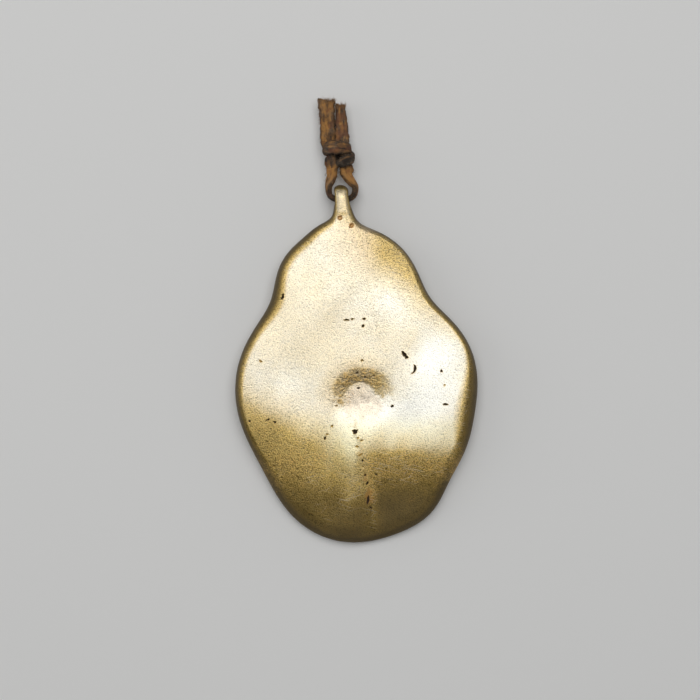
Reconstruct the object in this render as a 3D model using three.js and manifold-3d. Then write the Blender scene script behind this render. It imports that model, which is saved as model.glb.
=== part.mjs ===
// Amulet pendant: a worn cast brass plate with a round eye, hung on a knotted leather lace.
// It lies on its back. Millimetres, +X to the right across the plate, +Y up toward the lace,
// +Z out of the face. The origin is under the middle of the brass, on the surface it lies on.
import * as THREE from "three";
import { mergeVertices } from "three/addons/utils/BufferGeometryUtils.js";
import Module from "manifold-3d";

// Overall size of the casting, with its eye
const castingWidth = 41.9;
const castingLength = 61.86;
const lobeBlend = 3.2;

// Thickness of the casting. Its face is level above the brow, a soft line across the plate, and
// falls ever more steeply to the foot below it, further on the right of the crease.
const plateThick = 5;
const footThickLeft = 2.8;
const footThickRight = 2.1;
const footBowLeft = 0.4;
const footBowRight = 0.3;
const footBlend = 7;
const brow = { x: -2, y: -15.1 };
const browRiseRight = 0.06;
const browRiseLeft = 0.57;
const browSoftRight = 2.4;
const browSoftLeft = 5;
const browBend = 2.5;
const ridge = { x: -1.4, width: 2.6, drop: 1.7 };

// Edge of the plate: how wide the face rolls down to the rim, side by side round the plate
const rightRoll = 2.3;
const upperRightRoll = 1;
const crownRoll = 0.9;
const shoulderRoll = 0.9;
const leftRoll = 1.3;
const footRoll = 3.2;
const hipRoll = 2.2;
const rimShare = 0.42;
const underRound = 0.9;

// The dent in the face. Its walls steepen down to its floor, and both reach further in some
// directions than in others. A shallow worn hollow lies left of it.
const dent = { x: 0.8, y: -5.6, depth: 0.5, steepening: 2.4, rounding: 1.6 };
const dentReach = { right: 7.5, up: 6, left: 6.4, down: 7.4 };
const dentFloor = { right: 2, up: 2.5, left: 2.6, down: 1 };
const hollow = { x: -8.5, y: -1.5, halfX: 7.5, halfY: 9, depth: 0.2 };

// Neck and eye: a leaning strip that runs into the crown and into a small lobe at its root
const neckX = -2.5;
const neckWidth = 2.75;
const neckRise = 5.42;
const neckLean = -0.11;
const neckRoot = { x: -4.4, drop: 2.6, r: 3.1 };
const neckBlend = 1.3;
const stemThick = 4.4;
const stemLift = 0.5;
const neckFlatness = 3;
const eyeWall = 0.9;
const eyeLift = 0.15;
const eyeFlare = 0.45;

// Leather lace, its clearance in the eye and its gap to what it meets
const laceWidth = 2.4;
const laceThick = 1.2;
const laceClearance = 0.3;
const meetGap = 0.3;
const rightEndWidth = 1.8;

// Routes of the lace, their points chosen by hand. The turn through the eye is measured from the
// eye's centre: up the left side, across the bore and up the right side.
const loopRoute = [
  [-1.68, 4.95],
  [-1.7, 4.3],
  [-1.95, 3.25],
  [-2.28, 2],
  [-2.05, 0.6],
  [-1.15, 0],
  [0, 0],
  [1.15, 0],
  [2.05, 0.6],
  [2.28, 2],
  [1.4, 3.25],
  [0.82, 4.3],
  [0.78, 4.95],
];

// The knot, measured from its own middle: the left strand rises, drops behind, comes out between
// the legs and binds both strands with two turns; the right strand goes straight through.
const leftStrand = [
  [-1.23, -2.15, 0.1],
  [-1.35, -1.1, 0.25],
  [-1.4, -0.15, -0.25],
  [-1.05, 0.2, -1.05],
  [-0.45, -0.35, -1.5],
  [-0.1, -1.05, -1.15],
  [-0.15, -1.35, -0.1],
  [0.25, -1.3, 1],
  [1.1, -0.95, 1.6],
  [1.9, -0.6, 1.1],
  [2.1, -0.25, 0],
  [1.7, 0.15, -1.1],
  [0.6, 0.5, -1.52],
  [-0.9, 0.85, -1.52],
  [-2, 1.05, -1.1],
  [-2.35, 1.15, 0],
  [-1.95, 1.25, 1.1],
  [-0.8, 1.3, 1.6],
  [0.5, 1.3, 1.5],
  [1.35, 1.2, 0.95],
  [1.5, 1.2, -0.05],
  [0.9, 1.25, -0.8],
  [-0.4, 1.3, -0.8],
  [-1.5, 1.4, -0.45],
  [-1.95, 2.15, 0],
];
const rightStrand = [
  [1.23, -2.15, 0.1],
  [1.05, -1, -0.15],
  [0.75, 0.2, -0.2],
  [0.5, 1.3, -0.05],
  [0.45, 2.15, 0],
];
const knotLean = -0.45;
const knotStrandThick = 1.6;
const knotFill = { x: 1.9, y: 1.35, z: 1.1 };
const stubDepth = 1.1;

// The two cut ends, each measured from where its strand leaves the knot
const leftEndRoute = [
  [0, 0],
  [-0.09, 3.55],
  [-0.3, 7.1],
];
const rightEndRoute = [
  [0, 0],
  [-0.09, 3.1],
  [-0.3, 6.2],
];

// Fineness of the facets
const tipSpokes = 4;
const neckSpokes = 7;
const shoulderSpokes = 12;
const fanSpokes = 26;
const shoulderSlope = 0.84;
const shoulderCrowding = 1.5;
const faceRings = 13;
const rollRings = 5;
const ringCrowding = 1.25;
const widestRoll = 0.6;
const underRings = 4;
const boreSides = 24;
const laceSteps = 44;
const endSteps = 6;
const strandStep = 0.8;
const runSteps = 6;

const wasm = await Module();
wasm.setup();

function toSolid(geometry) {
  const bare = new THREE.BufferGeometry();
  bare.setAttribute("position", geometry.getAttribute("position").clone());
  if (geometry.index) bare.setIndex(geometry.index.clone());
  const merged = mergeVertices(bare, 1e-5);
  const vertProperties = new Float32Array(merged.getAttribute("position").array);
  const triVerts = new Uint32Array(merged.index.array);
  return new wasm.Manifold(new wasm.Mesh({ numProp: 3, vertProperties, triVerts }));
}

function toGeometry(solid) {
  const mesh = solid.getMesh();
  const geometry = new THREE.BufferGeometry();
  geometry.setAttribute("position", new THREE.BufferAttribute(mesh.vertProperties, 3));
  geometry.setIndex(new THREE.BufferAttribute(mesh.triVerts, 1));
  geometry.computeVertexNormals();
  return geometry;
}

// Distance to a group of round lobes that run into each other, negative inside
function lobeDistance(group, blend, x, y) {
  const sum = group.reduce((total, lobe) => {
    const distance = Math.hypot(x - lobe.x, y - lobe.y) - lobe.r;
    return total + Math.exp(-distance / blend);
  }, 0);
  return -blend * Math.log(sum);
}

// How far a border lies from a point inside it, in one direction
function reachOf(distance, x, y, angle) {
  let inside = 0;
  let outside = castingLength;
  for (let halving = 0; halving < 40; halving++) {
    const middle = (inside + outside) / 2;
    const out = distance(x + middle * Math.cos(angle), y + middle * Math.sin(angle)) > 0;
    if (out) outside = middle;
    else inside = middle;
  }
  return inside;
}

function smoothStep(from, to, value) {
  const share = Math.min(Math.max((value - from) / (to - from), 0), 1);
  return share * share * (3 - 2 * share);
}

function mix(from, to, share) {
  return from + (to - from) * share;
}

// Outline of the plate: round lobes that run into each other. The flanks and the hip are set in
// from the sides, the crown from its top and the foot from the bottom.
const eyeRadius = laceWidth / 2 + laceClearance;
const ringRadius = eyeRadius + eyeWall;
const sideX = castingWidth / 2;
const footY = -castingLength / 2;
const crownTop = castingLength / 2 - ringRadius - neckRise;
const lobes = [
  { name: "crown", x: 0.2, y: crownTop - 10.05, r: 10.05 },
  { name: "left shoulder", x: -7.4, y: crownTop - 8.15, r: 4.4 },
  { name: "left flank", x: 16.15 - sideX, y: -4.2, r: 16 },
  { name: "right flank", x: sideX - 12.15, y: -1.9, r: 11.45 },
  { name: "right hip", x: sideX - 10.05, y: footY + 19.3, r: 6.7 },
  { name: "foot", x: -0.8, y: footY + 13.4, r: 13.1 },
  { name: "heel", x: 8.9, y: footY + 8.9, r: 3 },
];
const plateDistance = (x, y) => lobeDistance(lobes, lobeBlend, x, y);
const plateMiddle = { x: -0.2, y: -3 };

// The eye stands on the shoulder of the plate, its bore sized for the lace
const shoulderY = reachOf(plateDistance, neckX, 0, Math.PI / 2);
const eye = new THREE.Vector3(neckX, crownTop + neckRise, ringRadius + eyeLift);
const tipY = eye.y + ringRadius;
const tipStart = tipY - neckWidth / 2;

const rootLobe = { x: neckRoot.x, y: crownTop - neckRoot.drop, r: neckRoot.r };

// Half the neck's width at a height: straight, then round to the tip
function neckHalf(y) {
  const over = Math.max(y - tipStart, 0) / (tipY - tipStart);
  return neckWidth / 2 * Math.sqrt(Math.max(1 - over ** 2, 0));
}

function neckMiddle(y) {
  return neckX + neckLean * (y - eye.y);
}

// Distance to the outline of the whole casting, negative inside it
function outlineDistance(x, y) {
  const lowY = rootLobe.y;
  const strip = Math.hypot(x - neckMiddle(Math.max(y, lowY)), Math.min(y - lowY, 0)) - neckHalf(y);
  const neck = y > tipY ? Math.max(strip, y - tipY) : strip;
  const plate = Math.exp(-plateDistance(x, y) / neckBlend);
  const root = Math.exp(-lobeDistance([rootLobe], neckBlend, x, y) / neckBlend);
  return -neckBlend * Math.log(plate + root + Math.exp(-neck / neckBlend));
}

// Zero on one side of a line and a straight rise on the other, rounded where they meet
function softHinge(distance, softness) {
  return (distance + Math.hypot(distance, softness)) / 2;
}

const footEdge = plateMiddle.y - reachOf(plateDistance, plateMiddle.x, plateMiddle.y, -Math.PI / 2);

// Reach of the dent's walls or floor in the direction of a point
function dentWidth(widths, right, up) {
  const across = right > 0 ? widths.right : widths.left;
  const along = up > 0 ? widths.up : widths.down;
  return across * right ** 2 + along * up ** 2;
}

function dentDepth(x, y) {
  const far = Math.max(Math.hypot(x - dent.x, y - dent.y), 1e-6);
  const right = (x - dent.x) / far;
  const up = (y - dent.y) / far;
  const reach = dentWidth(dentReach, right, up);
  const floor = dentWidth(dentFloor, right, up);
  const share = Math.min(Math.max((reach - far) / (reach - floor), 0), 1);
  return dent.depth * (1 - (1 - share ** dent.steepening) ** dent.rounding);
}

function hollowDepth(x, y) {
  const across = (x - hollow.x) / hollow.halfX;
  const along = (y - hollow.y) / hollow.halfY;
  return hollow.depth * Math.exp(-(across ** 2) - along ** 2);
}

// How far a point lies below the brow: 0 above it, 1 at the foot. The brow drops further down
// where a ridge runs beside the crease.
function browRun(x, y) {
  const offX = x - brow.x;
  const swayed = Math.hypot(offX, browBend) - browBend;
  const sag = ridge.drop * Math.exp(-(((x - ridge.x) / ridge.width) ** 2));
  const rise = (offX > 0 ? browRiseRight : browRiseLeft) * swayed - sag;
  const softness = mix(browSoftLeft, browSoftRight, smoothStep(-browBend, browBend, offX));
  return softHinge(brow.y + rise - y, softness) / (brow.y - footEdge);
}

// Height of the plate's face over its flat back, before the edge rolls down
function faceHeight(x, y) {
  const run = browRun(x, y);
  const side = smoothStep(-footBlend, footBlend, x - brow.x);
  const footThick = mix(footThickLeft, footThickRight, side);
  const fall = (plateThick - footThick) * mix(run, run ** 2, mix(footBowLeft, footBowRight, side));
  return plateThick - fall - dentDepth(x, y) - hollowDepth(x, y);
}

// Widths of the edge's roll by compass direction in degrees, eased between these directions
const edgeRolls = [
  { at: -10, width: rightRoll },
  { at: 24, width: upperRightRoll },
  { at: 66, width: crownRoll },
  { at: 92, width: shoulderRoll },
  { at: 150, width: leftRoll },
  { at: 215, width: leftRoll },
  { at: 268, width: footRoll },
  { at: 310, width: hipRoll },
];
const fullTurn = 360;

function rollWidth(angle) {
  const degrees = THREE.MathUtils.radToDeg(angle);
  const first = edgeRolls[0].at;
  const turned = THREE.MathUtils.euclideanModulo(degrees - first, fullTurn) + first;
  const closed = [...edgeRolls, { at: first + fullTurn, width: edgeRolls[0].width }];
  const next = closed.findIndex((roll) => roll.at > turned);
  const from = closed[next - 1];
  const to = closed[next];
  const share = (turned - from.at) / (to.at - from.at);
  return mix(from.width, to.width, (1 - Math.cos(Math.PI * share)) / 2);
}

// Fall of a border: 0 at the outline, 1 where the roll ends, round at a power of 2 and flatter
// on top above that
function roundFall(inset, width, power = 2) {
  const left = 1 - Math.min(Math.max(inset / width, 0), 1);
  return (1 - left ** power) ** (1 / power);
}

// Middle and half thickness of the neck, which swells to the ring of the eye
function neckSection(y) {
  const rise = smoothStep(shoulderY, eye.y, y);
  const swell = Math.sqrt(Math.max(ringRadius ** 2 - (y - eye.y) ** 2, 0));
  const half = y > eye.y ? swell : mix(stemThick / 2, ringRadius, rise);
  return { middle: mix(stemThick / 2 + stemLift, eye.z, rise), half };
}

// Face, rim and back of the casting over one point of its plan
function castingHeights(x, y) {
  const inset = -outlineDistance(x, y);
  const necked = smoothStep(shoulderY - neckWidth, shoulderY + neckWidth / 2, y);
  const neck = neckSection(y);
  const half = Math.max(neckHalf(y), 1e-6);
  const angle = Math.atan2(y - plateMiddle.y, x - plateMiddle.x);
  const plateFace = faceHeight(x, y);
  const face = mix(plateFace, neck.middle + neck.half, necked);
  const rim = mix(rimShare * plateFace, neck.middle, necked);
  const back = mix(0, neck.middle - neck.half, necked);
  const faceFall = roundFall(inset, mix(rollWidth(angle), half, necked), mix(2, neckFlatness, necked));
  const backFall = roundFall(inset, mix(underRound, half, necked));
  return { face: mix(rim, face, faceFall), rim, back: mix(rim, back, backFall) };
}

// The spine of the casting, from the middle of the plate up to the eye
function spineAt(y) {
  const share = smoothStep(plateMiddle.y, shoulderY, y);
  return { x: mix(plateMiddle.x, neckMiddle(y), share), y };
}

// Spokes from the spine to the outline, clockwise from the tip round to the foot
function rightSpokes() {
  const spokes = [];
  const neckFoot = shoulderY + neckWidth / 4;
  for (let step = 0; step < tipSpokes; step++) {
    spokes.push({ from: spineAt(tipStart), angle: Math.PI / 2 * (1 - step / tipSpokes) });
  }
  for (let step = 0; step < neckSpokes; step++) {
    spokes.push({ from: spineAt(mix(tipStart, neckFoot, step / neckSpokes)), angle: 0 });
  }
  for (let step = 0; step < shoulderSpokes; step++) {
    const share = 1 - (1 - step / shoulderSpokes) ** shoulderCrowding;
    const from = spineAt(mix(neckFoot, plateMiddle.y, share));
    spokes.push({ from, angle: Math.atan(shoulderSlope * share) });
  }
  for (let step = 0; step <= fanSpokes; step++) {
    const angle = mix(Math.atan(shoulderSlope), -Math.PI / 2, step / fanSpokes);
    spokes.push({ from: plateMiddle, angle });
  }
  return spokes;
}

function allSpokes() {
  const right = rightSpokes();
  const left = right.slice(1, -1).reverse();
  const mirrored = left.map(({ from, angle }) => ({ from, angle: Math.PI - angle }));
  return [...right, ...mirrored];
}

// Points along one spoke, closer together toward the spine and round the roll
function spokePlaces(spoke, inner, outer, width) {
  const reach = reachOf(outlineDistance, spoke.from.x, spoke.from.y, spoke.angle);
  const roll = Math.min(width, widestRoll * reach);
  const places = [];
  for (let ring = 0; ring <= inner; ring++) {
    places.push((reach - roll) * (ring / inner) ** ringCrowding);
  }
  for (let ring = 1; ring < outer; ring++) {
    places.push(reach - roll * (1 - Math.sin(Math.PI / 2 * ring / outer)));
  }
  places.push(reach);
  return places.map((place) => [
    spoke.from.x + place * Math.cos(spoke.angle),
    spoke.from.y + place * Math.sin(spoke.angle),
  ]);
}

// The casting is one closed skin: its face and its back meet at the rim
function makeCasting() {
  const positions = [];
  const faces = [];
  const known = new Map();
  const vertex = (x, y, z) => {
    const key = [x, y, z].map((value) => Math.round(value * 1e5)).join(" ");
    if (!known.has(key)) {
      known.set(key, known.size);
      positions.push(x, y, z);
    }
    return known.get(key);
  };
  const addFace = (a, b, c) => {
    if (a !== b && b !== c && c !== a) faces.push(a, b, c);
  };
  const spokes = allSpokes();
  const columns = spokes.map((spoke) => {
    const roll = rollWidth(spoke.angle);
    const above = spokePlaces(spoke, faceRings, rollRings, roll).map(([x, y], at, { length }) => {
      const heights = castingHeights(x, y);
      return vertex(x, y, at === length - 1 ? heights.rim : heights.face);
    });
    const below = spokePlaces(spoke, 1, underRings, underRound).map(([x, y], at, { length }) => {
      const heights = castingHeights(x, y);
      return vertex(x, y, at === length - 1 ? heights.rim : heights.back);
    });
    return [...above, ...below.slice(0, -1).reverse()];
  });
  columns.forEach((column, at) => {
    const next = columns[(at + 1) % columns.length];
    for (let ring = 0; ring < column.length - 1; ring++) {
      addFace(column[ring], next[ring + 1], column[ring + 1]);
      addFace(column[ring], next[ring], next[ring + 1]);
    }
  });
  const geometry = new THREE.BufferGeometry();
  geometry.setAttribute("position", new THREE.Float32BufferAttribute(positions, 3));
  geometry.setIndex(faces);
  return geometry;
}

// Bore of the eye, opened at both mouths where the lace has worn it
function makeBore() {
  const half = neckWidth / 2;
  const mouth = eyeRadius + eyeFlare;
  const profile = [
    [0, -2 * half],
    [mouth, -2 * half],
    [mouth, -half],
    [eyeRadius, -half / 3],
    [eyeRadius, half / 3],
    [mouth, half],
    [mouth, 2 * half],
    [0, 2 * half],
  ].map(([radius, along]) => new THREE.Vector2(radius, along));
  const bore = new THREE.LatheGeometry(profile, boreSides);
  bore.rotateZ(Math.PI / 2);
  bore.translate(eye.x, eye.y, eye.z);
  return bore;
}

// Flat lace along a route in one level plane, from a start point
function makeLace(route, start, across, upright, steps) {
  const section = new THREE.Shape();
  section.absellipse(0, 0, upright / 2, across / 2, 0, 2 * Math.PI);
  const points = route.map(([x, y]) => new THREE.Vector3(start.x + x, start.y + y, start.z));
  const extrudePath = new THREE.CatmullRomCurve3(points);
  return new THREE.ExtrudeGeometry(section, { extrudePath, steps, curveSegments: 4 });
}

// The knot rests on the surface, above the top of the lace's turn
const knotSide = Math.max(...leftStrand.map(([, , z]) => z)) + knotStrandThick / 2;
const knotFoot = leftStrand[0][1];
const knot = new THREE.Vector3(eye.x + knotLean, eye.y + loopRoute[0][1] + meetGap - knotFoot, knotSide);

function strandPoints(strand) {
  return strand.map((point) => new THREE.Vector3(...point).add(knot));
}

// Round strand in short runs that run into each other, because it crosses itself in the knot
function makeRuns(strand) {
  const section = new THREE.Shape();
  section.absarc(0, 0, knotStrandThick / 2, 0, 2 * Math.PI);
  const curve = new THREE.CatmullRomCurve3(strandPoints(strand));
  const places = curve.getSpacedPoints(Math.round(curve.getLength() / strandStep)).slice(1, -1);
  const runs = [];
  for (let first = 0; first < places.length - 1; first += runSteps) {
    const run = places.slice(first, first + runSteps + 2);
    const extrudePath = new THREE.CatmullRomCurve3(run);
    const options = { extrudePath, steps: run.length - 1, curveSegments: 5 };
    runs.push(new THREE.ExtrudeGeometry(section, options));
  }
  return runs;
}

// Flat stub of the lace, from a strand's outer end straight into the knot
function makeStub([x, y], depth, across, upright) {
  const start = new THREE.Vector3(x, y, 0).add(knot);
  return makeLace([[0, 0], [0, depth]], start, across, upright, 2);
}

function makeKnot() {
  const fill = new THREE.SphereGeometry(1, 16, 10);
  fill.scale(knotFill.x, knotFill.y, knotFill.z);
  fill.translate(knot.x, knot.y, knot.z);
  const pieces = [
    ...makeRuns(leftStrand),
    ...makeRuns(rightStrand),
    makeStub(leftStrand[0], stubDepth, laceThick, laceWidth),
    makeStub(rightStrand[0], stubDepth, laceThick, laceWidth),
    makeStub(leftStrand.at(-1), -stubDepth, laceWidth, laceThick),
    makeStub(rightStrand.at(-1), -stubDepth, rightEndWidth, laceThick),
  ];
  return pieces.reduce((solid, piece) => solid.add(toSolid(piece)), toSolid(fill));
}

// A cut end goes on from the top of its strand
function makeEnd(strand, route, width) {
  const start = new THREE.Vector3(...strand.at(-1)).add(knot);
  start.y += meetGap;
  return makeLace(route, start, width, laceThick, endSteps);
}

const brass = new THREE.MeshStandardMaterial({ color: 0xcbb273, metalness: 1, roughness: 0.36 });
const leather = new THREE.MeshStandardMaterial({ color: 0x6b4526, metalness: 0, roughness: 0.85 });

const pendant = new THREE.Group();

function addPiece(name, geometry, material) {
  const mesh = new THREE.Mesh(geometry, material);
  mesh.name = name;
  pendant.add(mesh);
}

const casting = toSolid(makeCasting()).subtract(toSolid(makeBore()));
addPiece("amulet_plate", toGeometry(casting), brass);
addPiece("thong_loop", makeLace(loopRoute, eye, laceThick, laceWidth, laceSteps), leather);
addPiece("thong_knot", toGeometry(makeKnot()), leather);
addPiece("thong_end_left", makeEnd(leftStrand, leftEndRoute, laceWidth), leather);
addPiece("thong_end_right", makeEnd(rightStrand, rightEndRoute, rightEndWidth), leather);

export default pendant;
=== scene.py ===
import math

import bpy
import numpy as np
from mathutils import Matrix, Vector
from mathutils.geometry import delaunay_2d_cdt


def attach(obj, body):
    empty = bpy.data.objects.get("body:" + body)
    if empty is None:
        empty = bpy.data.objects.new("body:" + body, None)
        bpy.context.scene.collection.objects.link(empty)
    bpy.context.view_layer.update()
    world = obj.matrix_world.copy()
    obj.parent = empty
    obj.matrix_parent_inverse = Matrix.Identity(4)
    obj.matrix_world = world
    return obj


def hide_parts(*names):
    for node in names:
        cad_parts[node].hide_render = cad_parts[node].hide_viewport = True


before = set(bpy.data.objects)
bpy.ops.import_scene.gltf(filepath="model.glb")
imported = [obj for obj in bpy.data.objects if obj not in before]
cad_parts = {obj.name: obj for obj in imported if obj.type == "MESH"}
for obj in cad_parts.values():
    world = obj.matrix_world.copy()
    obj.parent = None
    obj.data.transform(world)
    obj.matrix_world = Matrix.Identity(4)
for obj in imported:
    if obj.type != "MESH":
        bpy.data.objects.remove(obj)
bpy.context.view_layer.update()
print("frame loaded:", ", ".join(sorted(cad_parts)))

# Shapes are worked out in millimetres, as on the drawing, and go into Blender in metres.
mm = 0.001


class Wire:
    # a socket that can be added, scaled and compared like a number
    def __init__(self, maker, socket):
        self.maker = maker
        self.socket = socket

    def calc(self, operation, first, second):
        return self.maker.node("ShaderNodeMath", {"operation": operation}, {0: first, 1: second})

    def __add__(self, other):
        return self.calc("ADD", self, other)

    def __radd__(self, other):
        return self.calc("ADD", other, self)

    def __sub__(self, other):
        return self.calc("SUBTRACT", self, other)

    def __rsub__(self, other):
        return self.calc("SUBTRACT", other, self)

    def __mul__(self, other):
        return self.calc("MULTIPLY", self, other)

    def __rmul__(self, other):
        return self.calc("MULTIPLY", other, self)

    def __truediv__(self, other):
        return self.calc("DIVIDE", self, other)

    def most(self, other):
        return self.calc("MAXIMUM", self, other)

    def least(self, other):
        return self.calc("MINIMUM", self, other)


class Maker:
    # fills one node tree
    def __init__(self, tree):
        self.tree = tree
        self.tree.nodes.clear()

    def node(self, kind, settings=None, inputs=None, out=0):
        made = self.tree.nodes.new(kind)
        for name, value in (settings or {}).items():
            if name == "stops":
                self.setStops(made.color_ramp, value)
            else:
                setattr(made, name, value)
        for name, value in (inputs or {}).items():
            if isinstance(value, Wire):
                self.tree.links.new(value.socket, made.inputs[name])
            elif made.inputs[name].type == "RGBA":
                made.inputs[name].default_value = (*value, 1)
            else:
                made.inputs[name].default_value = value
        return Wire(self, made.outputs[out]) if made.outputs else made

    def setStops(self, ramp, stops):
        while len(ramp.elements) < len(stops):
            ramp.elements.new(1)
        for element, (place, colour) in zip(ramp.elements, stops):
            element.position = place
            element.color = (*colour, 1)

    def place(self):
        return self.node("ShaderNodeTexCoord", out="Object")

    # soft random field; size is that of its grains, in metres
    def noise(self, place, size, detail=3, roughness=0.55, distortion=0):
        inputs = {"Vector": place, "Scale": 1 / size, "Detail": detail}
        inputs.update({"Roughness": roughness, "Distortion": distortion})
        return self.node("ShaderNodeTexNoise", {}, inputs, "Fac")

    def attribute(self, name):
        return self.node("ShaderNodeAttribute", {"attribute_name": name}, {}, "Fac")

    # 0 below low, 1 above high
    def ramp(self, value, low, high):
        inputs = {"Value": value, "From Min": low, "From Max": high}
        return self.node("ShaderNodeMapRange", {"interpolation_type": "SMOOTHSTEP"}, inputs)

    def blend(self, mask, first, second):
        return self.node("ShaderNodeMix", {"data_type": "RGBA"}, {0: mask, 6: first, 7: second}, 2)

    def tint(self, first, second, amount=1.0):
        settings = {"data_type": "RGBA", "blend_type": "MULTIPLY"}
        return self.node("ShaderNodeMix", settings, {0: amount, 6: first, 7: second}, 2)

    def bump(self, height, depth):
        return self.node("ShaderNodeBump", {}, {"Height": height, "Distance": depth, "Strength": 1})


def newFinish(name):
    material = bpy.data.materials.new(name)
    material.use_nodes = True
    return material, Maker(material.node_tree)


def finishShader(maker, inputs):
    shader = maker.node("ShaderNodeBsdfPrincipled", {}, inputs)
    maker.node("ShaderNodeOutputMaterial", {}, {"Surface": shader})


def addObject(name, data):
    made = bpy.data.objects.new(name, data)
    bpy.context.scene.collection.objects.link(made)
    return made


def newPiece(name, vertices, faces, material):
    mesh = bpy.data.meshes.new(name)
    mesh.from_pydata((np.asarray(vertices) * mm).tolist(), [], faces)
    mesh.materials.append(material)
    mesh.polygons.foreach_set("use_smooth", np.ones(len(mesh.polygons), bool))
    mesh.update()
    return addObject(name, mesh)


# the skin between rings of points, each ring with the same number of sides
def tubeFaces(rings, sides, start=0):
    faces = []
    for ring in range(rings - 1):
        low = start + ring * sides
        for side in range(sides):
            turn = (side + 1) % sides
            faces.append((low + side, low + turn, low + turn + sides, low + side + sides))
    return faces


# three numbers for each of a mesh's points
def readValues(items, name):
    values = np.empty(len(items) * 3, np.float32)
    items.foreach_get(name, values)
    return values.reshape(-1, 3)


def storeValues(mesh, name, values):
    layer = mesh.attributes.new(name, "FLOAT", "POINT")
    layer.data.foreach_set("value", np.asarray(values, np.float32))


# the photograph looks straight down, 700 pixels wide, each 0.172 mm of the object
photo = {
    "pixels": 700,
    "pixelSize": 0.172,
    "originX": 356.4,
    "originY": 364.3,
    "cameraHeight": 300,
    "focusHeight": 3.5,
    "sensor": 36,
}


def makeCamera():
    camera = bpy.data.cameras.new("camera")
    camera.sensor_width = photo["sensor"]
    middle = photo["pixels"] / 2
    width = photo["pixels"] * photo["pixelSize"]
    camera.lens = photo["sensor"] * photo["cameraHeight"] / width
    camera.clip_start = 0.01
    holder = addObject("camera", camera)
    x = (middle - photo["originX"]) * photo["pixelSize"]
    y = (photo["originY"] - middle) * photo["pixelSize"]
    holder.location = (x * mm, y * mm, (photo["cameraHeight"] + photo["focusHeight"]) * mm)
    bpy.context.scene.camera = holder


makeCamera()

# the casting as drawn: its size, outline, thickness and the fall of its face. In a pair, the
# first number is for the left side and the second for the right side.
casting = {
    "width": 41.9,
    "length": 61.86,
    "thick": 5,
    "footThick": (2.8, 2.1),
    "footBow": (0.4, 0.3),
    "footBlend": 7,
    "lobeBlend": 3.2,
    "middle": (-0.2, -3),
    "brow": (-2.0, -15.1),
    "browRise": (0.57, 0.06),
    "browSoft": (5, 2.4),
    "browBend": 2.5,
    "ridgeX": -1.4,
    "ridgeWidth": 2.6,
    "ridgeDrop": 1.7,
    "rimShare": 0.42,
    "underRound": 0.9,
}
neck = {
    "x": -2.5,
    "width": 2.75,
    "rise": 5.42,
    "lean": -0.11,
    "rootX": -4.4,
    "rootDrop": 2.6,
    "rootR": 3.1,
    "blend": 1.3,
    "stemThick": 4.4,
    "stemLift": 0.5,
    "boreR": 1.5,
    "ringR": 2.4,
    "eyeLift": 0.15,
    "flare": 0.45,
    "flatness": 3,
}
sideX = casting["width"] / 2
footY = -casting["length"] / 2
crownTop = casting["length"] / 2 - neck["ringR"] - neck["rise"]
eye = np.array([neck["x"], crownTop + neck["rise"], neck["ringR"] + neck["eyeLift"]])

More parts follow.
